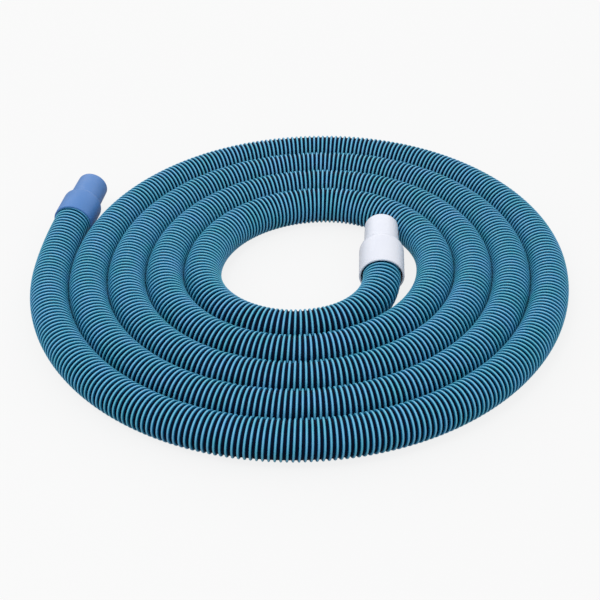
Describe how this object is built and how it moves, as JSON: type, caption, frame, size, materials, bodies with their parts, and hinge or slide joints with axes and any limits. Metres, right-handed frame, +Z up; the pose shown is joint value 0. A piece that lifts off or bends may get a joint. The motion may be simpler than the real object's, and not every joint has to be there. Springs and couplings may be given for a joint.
{
  "type": "pool vacuum hose",
  "caption": "Coiled spiral-wound suction hose for a pool cleaner, with a fixed cuff on the outer end and a free-turning swivel cuff on the inner end.",
  "frame": {"origin": "on the ground under the middle of the coil's outline", "axes": "+Z up, out of the coil's plane; +X towards the side opposite the hose's outer end, where the coil leaves for the fixed cuff; +Y towards the back, the way both cuffs point"},
  "size_m": [0.6874, 0.6632, 0.062],
  "materials": {
    "hose": "soft spiral-wound EVA, light blue ribs over a dark navy wall",
    "blue_cuff": "moulded, satin",
    "white_cuff": "moulded, satin",
    "insert": "dark moulded plastic, inside the swivel cuff",
    "seal": "matte"
  },
  "bodies": {
    "hose": {"hose_turn_1": "hose", "hose_turn_2": "hose", "hose_turn_3": "hose", "hose_turn_4": "hose", "hose_turn_5": "hose", "hose_fixed_end": "hose", "hose_swivel_end": "hose", "fixed_cuff": "blue_cuff", "swivel_sleeve": "insert", "swivel_seal": "seal"},
    "swivel": {"swivel_cuff": "white_cuff", "swivel_ring": "white_cuff"}
  },
  "joints": [
    {"name": "swivel_turn", "type": "hinge", "parent": "hose", "child": "swivel", "pos_m": [0.10345, -0.01374, 0.0295], "axis": [0.0446, 0.9961, 0.0767], "continuous": true}
  ]
}
